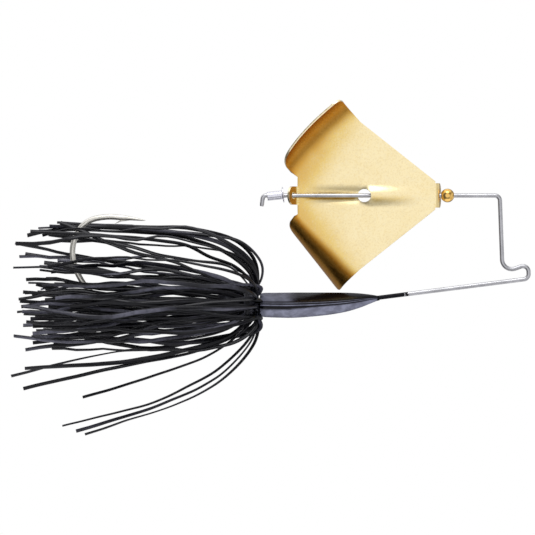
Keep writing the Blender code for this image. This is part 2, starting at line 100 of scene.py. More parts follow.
class Nodes:
    """A material's node tree, with short ways to add the nodes used here."""

    def __init__(self, name):
        self.material = bpy.data.materials.new(name)
        self.material.use_nodes = True
        self.tree = self.material.node_tree
        self.shader = self.tree.nodes["Principled BSDF"]
        self.place = self.tree.nodes.new("ShaderNodeTexCoord").outputs["Object"]

    def link(self, source, target):
        self.tree.links.new(source, target)

    def node(self, kind, **settings):
        node = self.tree.nodes.new(kind)
        for name, value in settings.items():
            setattr(node, name, value)
        return node

    def stretched(self, x, y, z):
        """Object coordinates scaled per axis, for grain that runs one way."""
        mapping = self.node("ShaderNodeMapping")
        mapping.inputs["Scale"].default_value = (x, y, z)
        self.link(self.place, mapping.inputs["Vector"])
        return mapping.outputs["Vector"]

    def noise(self, per_mm, detail=3.0, roughness=0.55, vector=None):
        node = self.node("ShaderNodeTexNoise")
        node.inputs["Scale"].default_value = per_mm / MM
        node.inputs["Detail"].default_value = detail
        node.inputs["Roughness"].default_value = roughness
        self.link(vector or self.place, node.inputs["Vector"])
        return node.outputs["Fac"]

    def cells(self, per_mm):
        node = self.node("ShaderNodeTexVoronoi")
        node.inputs["Scale"].default_value = per_mm / MM
        self.link(self.place, node.inputs["Vector"])
        return node.outputs["Distance"]

    def attribute(self, name):
        return self.node("ShaderNodeAttribute", attribute_name=name).outputs["Fac"]

    def remap(self, value, *limits):
        """A value eased from one range to another; limits are low, high, to_low, to_high."""
        node = self.node("ShaderNodeMapRange", interpolation_type="SMOOTHSTEP")
        for socket, number in zip(RANGE_SOCKETS, limits):
            node.inputs[socket].default_value = number
        self.link(value, node.inputs["Value"])
        return node.outputs["Result"]

    def maths(self, operation, a, b):
        node = self.node("ShaderNodeMath", operation=operation)
        for socket, value in zip(node.inputs, (a, b)):
            if isinstance(value, (int, float)):
                socket.default_value = value
            else:
                self.link(value, socket)
        return node.outputs["Value"]

    def mix(self, factor, a, b):
        """Colour a to colour b by factor; each is a colour triple or a socket."""
        node = self.node("ShaderNodeMix", data_type="RGBA")
        self.link(factor, node.inputs["Factor"])
        for socket, value in ((node.inputs[6], a), (node.inputs[7], b)):
            if isinstance(value, tuple):
                socket.default_value = (*value, 1.0)
            else:
                self.link(value, socket)
        return node.outputs[2]

    def mottle(self, value, dark, light, low=0.3, high=0.7):
        """Dark to light as a noise value passes from low to high."""
        return self.mix(self.remap(value, low, high, 0.0, 1.0), dark, light)

    def bump(self, height, depth_mm, after=None):
        node = self.node("ShaderNodeBump")
        node.inputs["Strength"].default_value = 1.0
        node.inputs["Distance"].default_value = depth_mm * MM
        self.link(height, node.inputs["Height"])
        if after is not None:
            self.link(after, node.inputs["Normal"])
        return node.outputs["Normal"]

    def set(self, **sockets):
        for name, value in sockets.items():
            socket = self.shader.inputs[name.replace("_", " ")]
            if isinstance(value, tuple):
                socket.default_value = (*value, 1.0)
            elif isinstance(value, (int, float)):
                socket.default_value = value
            else:
                self.link(value, socket)


# ---------------- materials

PAINT_GRAIN = 1.4
PAINT_EDGE = (1.16, 1.24)


def grained_metal(n, grain, dark, light, roughness, depth_mm):
    """Bare metal whose one grain sets its colour, roughness and bump."""
    n.set(Base_Color=n.mottle(grain, dark, light),
          Metallic=1.0,
          Roughness=n.remap(grain, *roughness),
          Normal=n.bump(grain, depth_mm))
    return n.material


def wire_material():
    """Drawn stainless steel, with the head's paint run out along the lower arm."""
    n = Nodes("stainless_wire_fine")
    streaks = n.noise(5.0, 4.0, 0.6, n.stretched(0.08, 1.0, 0.35))
    blotch = n.noise(0.35, 3.0)
    steel = n.mottle(blotch, (0.40, 0.40, 0.40), (0.52, 0.52, 0.52))
    ragged = n.maths("ADD", n.attribute("paint"), n.maths("MULTIPLY", n.noise(1.6, 4.0), PAINT_GRAIN))
    painted = n.remap(ragged, *PAINT_EDGE, 0.0, 1.0)
    n.set(Base_Color=n.mix(painted, steel, (0.004, 0.004, 0.006)),
          Metallic=n.remap(painted, 0.0, 1.0, 1.0, 0.0),
          Roughness=n.remap(streaks, 0.2, 0.8, 0.24, 0.36),
          Normal=n.bump(streaks, 0.002))
    n.shader.inputs["IOR"].default_value = 1.2
    return n.material


def hook_material():
    """Nickel-tin plate, warm grey and slightly cloudy."""
    n = Nodes("nickel_hook_fine")
    cloud = n.noise(0.5, 4.0)
    grain = n.noise(7.0, 3.0, 0.6, n.stretched(0.25, 1.0, 1.0))
    n.set(Base_Color=n.mottle(cloud, (0.58, 0.57, 0.50), (0.74, 0.72, 0.64)),
          Metallic=1.0,
          Roughness=n.remap(grain, 0.25, 0.75, 0.24, 0.42),
          Normal=n.bump(grain, 0.012))
    return n.material


def head_material():
    """Black gloss paint over a lead casting, with slate colour painted in where the attribute says: painted
    highlight lines on the ribs, painted reflection on the lower facets and painted sheen at the rear.
    """
    n = Nodes("black_gloss_paint_fine")
    peel = n.noise(0.9, 2.0)
    specks = n.noise(6.0, 4.0, 0.7)
    blotch = n.noise(0.5, 3.0)
    black = n.mottle(specks, (0.001, 0.001, 0.0014), (0.005, 0.005, 0.008), 0.4, 0.75)
    # slate is painted light: highlight lines, reflection and sheen laid into the colour
    slate = n.mottle(blotch, (0.15, 0.155, 0.20), (0.27, 0.28, 0.36))
    n.set(Base_Color=n.mix(n.attribute("painted_highlight"), black, slate),
          Metallic=0.0,
          Roughness=n.remap(specks, 0.3, 0.7, 0.14, 0.26),
          Normal=n.bump(specks, 0.010, after=n.bump(peel, 0.04)))
    n.shader.inputs["Specular IOR Level"].default_value = 0.5
    n.shader.inputs["IOR"].default_value = 1.17
    return n.material


def gold_grain(n):
    """Fine satin grain of the gold sheet: sets roughness and bump, returns the grain value."""
    grain = n.noise(2.4, 4.0, 0.65)
    flake = n.remap(n.cells(5.0), 0.0, 0.7, 0.0, 1.0)
    n.set(Metallic=1.0,
          Roughness=n.remap(grain, 0.3, 0.7, 0.28, 0.42),
          Normal=n.bump(grain, 0.006, after=n.bump(flake, 0.002)))
    return grain


# Gold from the lit flat of the sheet to the painted shade deep in a curl: shade amount and colour
GOLD_SHADE_RAMP = [
    (0.0, (0.96, 0.82, 0.47)),
    (0.28, (0.82, 0.60, 0.20)),
    (0.52, (0.66, 0.37, 0.07)),
    (0.78, (0.50, 0.20, 0.015)),
    (1.0, (0.50, 0.25, 0.035)),
]
GOLD_FLECK = (1.0, 0.92, 0.66)
GOLD_PIT = (0.62, 0.40, 0.10)


def gold_sheet_material():
    """Gold-lacquered sheet: pale on the flat, deepened by painted shade towards the bends, in the curls,
    channel and tabs.
    """
    n = Nodes("gold_sheet_fine")
    grain = gold_grain(n)
    cloud = n.noise(0.2, 3.0)
    # The mesh attribute is painted shade, with a little random variation added
    painted_shade = n.maths("ADD", n.attribute("painted_shade"), n.remap(cloud, 0.3, 0.7, -0.02, 0.03))
    ramp = n.node("ShaderNodeValToRGB")
    stops = ramp.color_ramp.elements
    stops[-1].position = GOLD_SHADE_RAMP[-1][0]
    for position, _ in GOLD_SHADE_RAMP[1:-1]:
        stops.new(position)
    for stop, (_, colour) in zip(stops, GOLD_SHADE_RAMP):
        stop.color = (*colour, 1.0)
    n.link(painted_shade, ramp.inputs["Fac"])
    fleck = n.maths("MULTIPLY", n.remap(grain, 0.45, 0.70, 0.0, 0.30), n.remap(painted_shade, 0.15, 0.6, 1.0, 0.08))
    pit = n.remap(n.noise(2.6, 3.0, 0.6), 0.34, 0.54, 0.20, 0.0)
    n.set(Base_Color=n.mix(pit, n.mix(fleck, ramp.outputs["Color"], GOLD_FLECK), GOLD_PIT))
    return n.material


def gold_edge_material():
    """The sheet's sheared edge, burnished brighter than its faces."""
    n = Nodes("gold_edge_fine")
    burnish = n.noise(1.5, 4.0, 0.6)
    return grained_metal(n, burnish, (0.90, 0.74, 0.40), (1.0, 0.90, 0.62), (0.3, 0.7, 0.2, 0.34), 0.01)


def bead_material():
    """Polished gold bead with hair scratches."""
    n = Nodes("gold_bead_fine")
    scratch = n.noise(4.0, 5.0, 0.7, n.stretched(1.0, 0.2, 0.6))
    return grained_metal(n, scratch, (0.74, 0.42, 0.08), (0.90, 0.60, 0.20), (0.3, 0.8, 0.03, 0.10), 0.004)


def rivet_material():
    """Bare aluminium with drawing lines round the barrel."""
    n = Nodes("rivet_aluminium_fine")
    rings = n.noise(6.0, 3.0, 0.6, n.stretched(1.0, 0.15, 0.15))
    return grained_metal(n, rings, (0.55, 0.55, 0.58), (0.84, 0.84, 0.87), (0.3, 0.7, 0.14, 0.32), 0.012)


# Colour of the sheen painted on the strands
PAINTED_SHEEN_COLOUR = (0.15, 0.15, 0.19)


def rubber_material(name, dark, light, roughness):
    """Black rubber with faint ribs, and slate painted in as sheen (a painted highlight) where the attribute
    says.
    """
    n = Nodes(name)
    bloom = n.noise(0.7, 4.0, 0.6)
    ribs = n.noise(5.0, 3.0, 0.6, n.stretched(0.12, 1.0, 1.0))
    black = n.mottle(bloom, dark, light, 0.35, 0.75)
    sheen = n.maths("MULTIPLY", n.attribute("painted_sheen"), n.remap(bloom, 0.3, 0.65, 0.55, 1.0))
    n.set(Base_Color=n.mix(sheen, black, PAINTED_SHEEN_COLOUR),
          Metallic=0.0,
          Roughness=n.remap(ribs, 0.25, 0.75, roughness - 0.05, roughness + 0.08),
          Normal=n.bump(ribs, 0.006))
    n.shader.inputs["Specular IOR Level"].default_value = 0.25
    return n.material


def floor_material():
    n = Nodes("floor_paper")
    fibre = n.noise(0.8, 3.0)
    n.set(Base_Color=n.mottle(fibre, (0.86, 0.86, 0.87), (0.90, 0.90, 0.91)), Roughness=0.9)
    return n.material


# ---------------- paths

def in_plane(pairs):
    """(x, z) pairs as points of the plane that the wire and the hook lie in."""
    return [Vector((x, 0, z)) for x, z in pairs]


def rounded_path(corners, radii, arc_points):
    """Straight runs between corners, with an arc of the given radius at each inner corner."""
    points = [corners[0]]
    for before, corner, after, radius in zip(corners, corners[1:], corners[2:], radii):
        back = (before - corner).normalized()
        ahead = (after - corner).normalized()
        half = back.angle(ahead) / 2.0
        centre = corner + (back + ahead).normalized() * (radius / math.sin(half))
        start = corner + back * (radius / math.tan(half))
        end = corner + ahead * (radius / math.tan(half))
        for k in range(arc_points + 1):
            spoke = (start - centre).slerp(end - centre, k / arc_points).normalized()
            points.append(centre + spoke * radius)
    points.append(corners[-1])
    return points


def catmull_rom(p0, p1, p2, p3, t):
    """The curve from p1 to p2 at t, for numbers or vectors."""
    return 0.5 * (2 * p1 + (p2 - p0) * t + (2 * p0 - 5 * p1 + 4 * p2 - p3) * t ** 2
                  + (3 * p1 - p0 - 3 * p2 + p3) * t ** 3)


def smooth_path(knots, per_span):
    """Catmull-Rom curve through the knots."""
    padded = [2 * knots[0] - knots[1], *knots, 2 * knots[-1] - knots[-2]]
    points = []
    for i in range(len(knots) - 1):
        points += [catmull_rom(*padded[i:i + 4], k / per_span) for k in range(per_span)]
    return points + [knots[-1]]


def smooth_rows(rows, per_span):
    """Catmull-Rom between rows of numbers, level at both ends."""
    padded = [rows[0], *rows, rows[-1]]
    out = []
    for i in range(len(rows) - 1):
        columns = list(zip(*padded[i:i + 4]))
        for k in range(per_span):
            out.append(tuple(catmull_rom(*column, k / per_span) for column in columns))
    return out + [rows[-1]]


def resampled(points, step):
    """Points along the same path, at most step apart."""
    out = [points[0]]
    for a, b in zip(points, points[1:]):
        pieces = max(1, math.ceil((b - a).length / step))
        out += [a.lerp(b, k / pieces) for k in range(1, pieces + 1)]
    return out


def lengths_along(points):
    """The run from the first point to each point."""
    total = [0.0]
    for a, b in zip(points, points[1:]):
        total.append(total[-1] + (b - a).length)
    return total


# ---------------- mesh helpers

def add_piece(name, mesh, material, body, nodes):
    """A finished mesh as a piece that rides on a CAD body and stands for CAD nodes."""
    obj = bpy.data.objects.new(name, mesh)
    bpy.context.scene.collection.objects.link(obj)
    mesh.materials.append(material)
    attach(obj, body)
    if nodes:
        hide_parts(*nodes)


def round_point(x, radius, angle, z=HUB_Z):
    """A point at an angle round an axis along X, which is the skirt's hub unless a height is given."""
    return Vector((x, radius * math.cos(angle), z + radius * math.sin(angle)))


def skin_rings(bm, rings, looped=False):
    """Quads between neighbouring rings; a looped run meets its own start, and any other is capped."""
    for near, far in zip(rings, rings[1:] + rings[:1] if looped else rings[1:]):
        count = len(near)
        for i in range(count):
            following = (i + 1) % count
            bm.faces.new((near[i], near[following], far[following], far[i]))
    if not looped:
        bm.faces.new(rings[0])
        bm.faces.new(rings[-1])


def mesh_from(name, bm, sharp_deg=40.0):
    """A smooth-shaded mesh, with edges over the given angle kept sharp."""
    bmesh.ops.recalc_face_normals(bm, faces=bm.faces)
    mesh = bpy.data.meshes.new(name)
    bm.to_mesh(mesh)
    bm.free()
    mesh.shade_smooth()
    mesh.set_sharp_from_angle(angle=math.radians(sharp_deg))
    return mesh


def oval(angle, half_width, half_depth):
    return half_width * math.cos(angle), half_depth * math.sin(angle)


def tube(name, points, sides, section, sharp_deg=40.0):
    """A closed tube; section(k, angle) gives the half-size across and along the carried normal at point k."""
    tangents = []
    for k in range(len(points)):
        ahead = points[min(k + 1, len(points) - 1)]
        behind = points[max(k - 1, 0)]
        tangents.append((ahead - behind).normalized())
    normal = tangents[0].orthogonal().normalized()
    bm = bmesh.new()
    rings = []
    for k, point in enumerate(points):
        if k:
            normal = tangents[k - 1].rotation_difference(tangents[k]) @ normal
        normal = (normal - tangents[k] * normal.dot(tangents[k])).normalized()
        other = tangents[k].cross(normal)
        ring = []
        for i in range(sides):
            angle = 2 * math.pi * i / sides
            u, v = section(k, angle)
            ring.append(bm.verts.new((point + normal * u + other * v) * MM))
        rings.append(ring)
    skin_rings(bm, rings)
    return mesh_from(name, bm, sharp_deg)


def point_values(mesh, name, values):
    """Stores one number per vertex for a material to read."""
    attribute = mesh.attributes.new(name, "FLOAT", "POINT")
    attribute.data.foreach_set("value", values)


def apply_modifiers(obj):
    """Bakes the modifiers into the mesh."""
    bpy.context.view_layer.update()
    baked = bpy.data.meshes.new_from_object(obj.evaluated_get(bpy.context.evaluated_depsgraph_get()))
    obj.modifiers.clear()
    obj.data = baked


def smoothstep(low, high, value):
    """0 at low and 1 at high; low may be the larger of the two."""
    t = max(0.0, min(1.0, (value - low) / (high - low)))
    return t * t * (3 - 2 * t)


def window(value, rise, fall):
    """1 between two ramps and 0 outside them; each ramp is its start and end."""
    return smoothstep(*rise, value) * (1.0 - smoothstep(*fall, value))


# ---------------- wire form

# Corners (x, z) of the bent wire, from the end cast into the head to the cut tail behind the shaft
WIRE_CORNERS = [(EYE_X, -9.1), (EYE_X, NOSE_Z - 0.1), (NOSE_X - 1.4, NOSE_Z - 0.1), (1.81, -1.44),
                (1.67, 2.0), (-4.3, -0.15), (SHAFT_FRONT_X, SHAFT_Z), (SHAFT_TAIL_X, SHAFT_Z),
                (SHAFT_TAIL_X - 0.3, SHAFT_Z - 2.5)]
WIRE_BEND_RADII = [0.9, 4.0, 1.28, 1.3, 2.3, 1.2, 0.8]
WIRE_SIDES = 20
WIRE_END_EASE = 0.15
ARM_END_X = -2.0
PAINT_END_X = -26.4
PAINT_FADE = 2.6


def make_wire_form(material):
    points = resampled(rounded_path(in_plane(WIRE_CORNERS), WIRE_BEND_RADII, 14), 0.6)
    run = lengths_along(points)

    def section(k, angle):
        from_end = min(run[k], run[-1] - run[k])
        radius = WIRE_RADIUS * (0.8 + 0.2 * min(1.0, from_end / WIRE_END_EASE))
        return oval(angle, radius, radius)

    mesh = tube("wire_form_fine", points, WIRE_SIDES, section)
    arm_end = next(k for k, p in enumerate(points) if p.x > ARM_END_X)
    paint = []
    for point in points[:arm_end]:
        paint += [smoothstep(PAINT_END_X + PAINT_FADE, PAINT_END_X - PAINT_FADE, point.x)] * WIRE_SIDES
    paint += [0.0] * (len(points) - arm_end) * WIRE_SIDES
    point_values(mesh, "paint", paint)
    add_piece("wire_form_fine", mesh, material, "lure", ["wire_form"])


# ---------------- hook

# (x, z) along the shank, round the bend to the point, and out along the barb
SHANK = [(EYE_X - 3.0, HUB_Z), (-60.0, HUB_Z), (-74.0, HUB_Z)]
HOOK_BEND = [(-88.0, HUB_Z), (-94.5, -7.1), (-99.8, -4.7), (-103.1, -0.2), (-104.3, 4.6),
             (-103.3, 9.0), (-100.6, 11.9), (-96.6, 12.9), (-92.0, 12.7), (-87.3, 12.1)]
POINT_TAPER = 6.0
BARB = [(-90.6, 12.5), (-93.0, 12.05), (-94.6, 11.25)]
BARB_HALF = (0.34, 0.26)


def make_hook(material):
    points = resampled(in_plane(SHANK) + smooth_path(in_plane(HOOK_BEND), 12), 0.8)
    run = lengths_along(points)

    def section(k, angle):
        left = run[-1] - run[k]
        radius = HOOK_RADIUS * min(1.0, 0.05 + 0.95 * (left / POINT_TAPER) ** 0.7)
        return oval(angle, radius, radius)

    mesh = tube("hook_fine", points, 20, section)
    add_piece("hook_fine", mesh, material, "lure", ["hook"])


def make_barb(material):
    """The sliver raised from the inside of the point."""
    points = resampled(in_plane(BARB), 0.15)
    run = lengths_along(points)

    def section(k, angle):
        scale = 1.0 - 0.93 * (run[k] / run[-1]) ** 1.6
        return oval(angle, BARB_HALF[0] * scale, BARB_HALF[1] * scale)

    mesh = tube("hook_barb_fine", points, 12, section)
    add_piece("hook_barb_fine", mesh, material, "lure", [])


# ---------------- head

# Stations from nose to rear: x, top, bottom, half-width, flatness of the facets
HEAD_STATIONS = [
    (NOSE_X, -5.35, -6.65, 0.75, 1.0),
    (-35.2, -5.1, -7.3, 1.4, 1.2),
    (-37.5, -4.85, -8.2, 2.25, 1.45),
    (-40.3, -4.7, -9.05, 3.1, 1.6),
    (-44.0, -4.65, -9.75, 3.9, 1.6),
    (-48.5, -4.65, -10.25, 4.5, 1.6),
    (-53.0, -4.65, -10.55, 4.9, 1.6),
    (-57.0, -4.7, -10.5, 4.9, 1.6),
    (-59.9, -4.75, -10.35, 4.7, 1.6),
    (HEAD_REAR_X, -5.05, -10.05, 4.3, 1.6),
]
HEAD_SHUT = (HEAD_REAR_X - 0.12, -5.3, -9.75, 3.95, 1.6)
RIDGE_SHARE = 0.58
RIB_HALF = 0.28
RIB_PROUD = 0.14
# Heights between ridge and top or keel: through the casting rib, then as shares of the facet
RIB_STEPS = 6
FACET_SHARES = (0.13, 0.16, 0.19, 0.22, 0.26, 0.31, 0.38, 0.5, 0.62, 0.74, 0.84, 0.91, 0.96, 0.99)


def side_heights(height):
    """Steps away from the ridge, fine enough for the rib along it, and the rib's half-width."""
    rib = min(RIB_HALF, 0.12 * height)
    steps = [rib * math.sin(math.pi / 2 * k / RIB_STEPS) for k in range(RIB_STEPS + 1)]
    return steps + [share * height for share in FACET_SHARES], rib


def quarter(height, half_width, flatness):
    """(y, rise) pairs from the ridge up to just short of the centre line."""
    power = 2.0 / flatness
    pairs = []
    heights, rib = side_heights(height)
    for rise in heights:
        y = half_width * (1.0 - min(1.0, rise / height) ** power) ** (1.0 / power)
        if rise < rib:
            y += RIB_PROUD * (rib / RIB_HALF) * math.sqrt(1.0 - (rise / rib) ** 2)
        pairs.append((y, rise))
    return pairs


def head_section(x, top, bottom, half_width, flatness):
    """One ring of the head: two nearly flat facets a side, with the casting rib on the ridge between them."""
    ridge = bottom + RIDGE_SHARE * (top - bottom)
    up = quarter(top - ridge, half_width, flatness)
    down = quarter(ridge - bottom, half_width, flatness)
    ring = [(y, ridge + rise) for y, rise in up] + [(0.0, top)]
    ring += [(-y, ridge + rise) for y, rise in reversed(up)]
    ring += [(-y, ridge - rise) for y, rise in down[1:]] + [(0.0, bottom)]
    ring += [(y, ridge - rise) for y, rise in reversed(down[1:])]
    return [Vector((x, y, z)) for y, z in ring]


def circle_section(x, radius, z):
    """A round ring with as many points as a head section, at the same angles round it."""
    count = len(head_section(*HEAD_STATIONS[0]))
    return [round_point(x, radius, 2 * math.pi * k / count, z) for k in range(count)]


# Painted highlight on the upper facet: a highlight line on the rib, and a painted sheen patch at the rear with
# its fade along the head
RIB_HIGHLIGHT = 0.5
REAR_SHEEN_X = (-55.0, -52.0)
# Painted light on the lower facet, by share of the way down: a highlight line under the rib, then painted
# reflection below
UNDER_RIB_HIGHLIGHT = 0.85
UNDER_RIB_HIGHLIGHT_RAMPS = ((0.09, 0.13), (0.16, 0.20))
LOWER_REFLECTION_FROM = 0.26
LOWER_REFLECTION_FADE = 0.10


def painted_highlight_amount(x, ridge, top, bottom, z):
    """How much slate is painted in as light: highlight lines on the ribs, painted reflection along the lower
    facets, and painted sheen at the rear above.
    """
    if z >= ridge - 0.05:
        rise = (z - ridge) / (top - ridge)
        rear = 1.0 - smoothstep(*REAR_SHEEN_X, x)
        on_rib = 1.0 - smoothstep(0.03, 0.08, rise)
        return max(RIB_HIGHLIGHT * on_rib, rear * smoothstep(0.1, 0.3, rise) * (0.62 - 0.25 * rise))
    fall = (ridge - z) / (ridge - bottom)
    edge = LOWER_REFLECTION_FROM + 0.16 * (1.0 - smoothstep(-60.0, -45.0, x))
    field = smoothstep(edge, edge + LOWER_REFLECTION_FADE, fall) * (1.0 - 0.35 * smoothstep(0.8, 1.0, fall))
    return max(UNDER_RIB_HIGHLIGHT * window(fall, *UNDER_RIB_HIGHLIGHT_RAMPS), field)


def make_head(material):
    """The body, its nose round the wire and its rear collar, with the amount of painted highlight of each
    ring's points.
    """
    nose = [circle_section(NOSE_X + 0.7, 0.52, NOSE_Z + 0.03), circle_section(NOSE_X + 0.3, 0.58, NOSE_Z)]
    collar = [
        circle_section(HEAD_REAR_X - 0.16, COLLAR_RADIUS + 0.3, HUB_Z),
        circle_section(HEAD_REAR_X - 0.5, COLLAR_RADIUS, HUB_Z),
        circle_section(COLLAR_END_X + 0.2, COLLAR_RADIUS, HUB_Z),
        circle_section(COLLAR_END_X, COLLAR_RADIUS - 0.15, HUB_Z),
    ]
    body = []
    body_highlight = []
    for x, top, bottom, half_width, flatness in [*smooth_rows(HEAD_STATIONS, 4), HEAD_SHUT]:
        body.append(head_section(x, top, bottom, half_width, flatness))
        ridge = bottom + RIDGE_SHARE * (top - bottom)
        body_highlight += [painted_highlight_amount(x, ridge, top, bottom, point.z) for point in body[-1]]
    plain = [0.0] * len(body[0])
    bm = bmesh.new()
    skin_rings(bm, [[bm.verts.new(p * MM) for p in ring] for ring in nose + body + collar])
    mesh = mesh_from("head_fine", bm, 50.0)
    point_values(mesh, "painted_highlight", plain * len(nose) + body_highlight + plain * len(collar))
    add_piece("head_fine", mesh, material, "lure", ["head"])


# ---------------- blade

PLATE_REAR_X = -15.56
PLATE_FRONT_X = 16.5
STRIP_HALF = 3.3
BEND_ROOT = Vector((-15.53, 4.3))
BEND_TIP = Vector((-0.9, 17.1))
CURL_AXIS_DEG = 54.0
CURL_AXIS = Vector((math.cos(math.radians(CURL_AXIS_DEG)), math.sin(math.radians(CURL_AXIS_DEG))))
ROOT_ROUNDING = 4.2
TIP_ROUNDING = 1.9
# Curls: length at the root and the tip, bow between, turn at the lip in degrees, tightening, flare
UPPER_CURL = (6.0, 8.6, 1.5, 80.0, 1.5, 1.9)
LOWER_CURL = (5.0, 10.2, 0.0, 86.0, 1.2, 1.15)
# How deep the painted shade in each curl gets, and the share of the curl where it is there
UPPER_CURL_SHADE = (0.76, 0.72)
LOWER_CURL_SHADE = (0.92, 0.42)

SPAN_STEPS = 56
FLAT_STEPS = 10
CURL_STEPS = 26
STRIP_STEPS = 28
BEND_STEPS = 24

CHANNEL_DEPTH = 1.05
CHANNEL_HALF_WIDTH = 3.0
CHANNEL_LENGTH = 14.5
CHANNEL_TURN = 1.3
# Painted shade on the flat: how far from a bend it reaches, its depth at a bend and towards the rear
SHADE_REACH = 7.0
BEND_SHADE = 0.33
REAR_SHADE = 0.07
# Painted shade on the channel's flanks and a painted shadow line under the wire: ramps along x, height, spread
# and depth of shade
CHANNEL_SHADES = [
    ((-15.0, -11.0), (-2.6, -1.6), -0.75, 0.28, 0.5),
    ((-15.0, -9.0), (-2.6, -1.4), 1.2, 0.9, 0.06),
    ((1.2, 2.4), (6.0, 13.0), -0.8, 0.7, 0.22),
]

# Tabs: where they leave the plate, side, bend in degrees, half-width, strip rows left out, painted shade added
# in the bend
TABS = [
    (PLATE_REAR_X, -1, 65.0, 2.21, 5, 0.5),
    (PLATE_FRONT_X, 1, 84.0, 2.76, 2, 0.05),
]
TAB_BEND_RADIUS = 0.7
TAB_END_ROUND = 2.2
TAB_STEPS = 20
# Painted shade laid over the whole of each tab
TAB_SHADE = 0.12
REAR_HOLE_X = -17.0
FRONT_HOLE_X = 17.4
EDGE_WEAR = 0.09


def channel_offset(x, z):
    """Depth of the pressed channel: to +Y behind the hole and to -Y ahead of it."""
    if abs(z) >= CHANNEL_HALF_WIDTH or abs(x) >= CHANNEL_LENGTH:
        return 0.0
    across = math.cos(math.pi * z / (2 * CHANNEL_HALF_WIDTH)) ** 2
    along = 0.7 * (1.0 - (x / CHANNEL_LENGTH) ** 4) if x < 0 else (1.0 - x / CHANNEL_LENGTH) ** 0.8
    side = math.sin(math.pi / 2 * max(-1.0, min(1.0, x / CHANNEL_TURN)))
    return -CHANNEL_DEPTH * across * along * side


def curl_offsets(length, full_length, angle, power):
    """Offsets across and out of the plate after a bend that tightens towards the lip."""
    across = out = 0.0
    for k in range(BEND_STEPS):
        fraction = (k + 0.5) / BEND_STEPS * length / full_length
        bend = angle * fraction ** power
        across += math.cos(bend) * length / BEND_STEPS
        out += math.sin(bend) * length / BEND_STEPS
    return across, out


def corner_trim(from_end, rounding):
    """How far a lip of this corner rounding draws back near its end."""
    if from_end >= rounding:
        return 0.0
    return rounding - math.sqrt(rounding ** 2 - (rounding - from_end) ** 2)


def wing_point(s, curl, shape):
    """A point of a wing: s runs root to tip along the bend, curl 0 to 1 from the bend to the lip."""
    root_length, tip_length, bow, lip_deg, power, flare = shape
    outward = Vector((-CURL_AXIS.y, CURL_AXIS.x))
    full = root_length + (tip_length - root_length) * s + bow * 4 * s * (1 - s)
    bend_length = (BEND_TIP - BEND_ROOT).dot(CURL_AXIS)
    trimmed = corner_trim(s * bend_length, ROOT_ROUNDING) + corner_trim((1.0 - s) * bend_length, TIP_ROUNDING)
    reach = curl * (full - trimmed)
    across, out = curl_offsets(reach, full, math.radians(lip_deg), power)
    base = BEND_ROOT.lerp(BEND_TIP, s) + outward * across + CURL_AXIS * (flare * s ** 4 * reach / full)
    return Vector((base.x, -out, base.y))


def wing_rows(shape, deepest, deep_from):
    """Rows of (point, painted shade) of a wing, from the strip's edge out to the lip."""
    rows = []
    for j in range(FLAT_STEPS + 1):
        row = []
        for i in range(SPAN_STEPS + 1):
            s = i / SPAN_STEPS
            inner = Vector((PLATE_REAR_X + (PLATE_FRONT_X - PLATE_REAR_X) * s, 0, STRIP_HALF))
            point = inner.lerp(wing_point(s, 0.0, shape), j / FLAT_STEPS)
            row.append((point, plate_painted_shade(point)))
        rows.append(row)
    for j in range(1, CURL_STEPS + 1):
        curl = j / CURL_STEPS
        row = []
        for i in range(SPAN_STEPS + 1):
            s = i / SPAN_STEPS
            flat_shade = plate_painted_shade(wing_point(s, 0.0, shape))
            bent = smoothstep(0.0, deep_from, curl)
            row.append((wing_point(s, curl, shape), flat_shade + (deepest - flat_shade) * bent))
        rows.append(row)
    return rows


def plate_painted_shade(point):
    """Painted shade on the flat of the blade: palest ahead, deeper to the rear and towards the bends."""
    from_root = Vector((point.x, abs(point.z))) - BEND_ROOT
    to_bend = abs(from_root.x * CURL_AXIS.y - from_root.y * CURL_AXIS.x)
    near_bend = 1.0 - smoothstep(0.0, SHADE_REACH, to_bend)
    return REAR_SHADE * smoothstep(4.0, -16.0, point.x) + BEND_SHADE * near_bend


def channel_painted_shade(x, z):
    """Painted shade on the channel's downward-facing flanks, and a painted shadow line under the wire along
    its rear half.
    """
    painted_shade = 0.0
    for rise, fall, height, spread, depth in CHANNEL_SHADES:
        painted_shade += depth * window(x, rise, fall) * math.exp(-((z - height) / spread) ** 2)
    return painted_shade


def strip_rows():
    """Rows of (point, painted shade) of the strip between the wings, with the channel pressed in."""
    rows = []
    for j in range(STRIP_STEPS + 1):
        z = STRIP_HALF * (2 * j / STRIP_STEPS - 1)
        row = []
        for i in range(SPAN_STEPS + 1):
            x = PLATE_REAR_X + (PLATE_FRONT_X - PLATE_REAR_X) * i / SPAN_STEPS
            point = Vector((x, channel_offset(x, z), z))
            row.append((point, plate_painted_shade(point) + channel_painted_shade(x, z)))
        rows.append(row)
    return rows


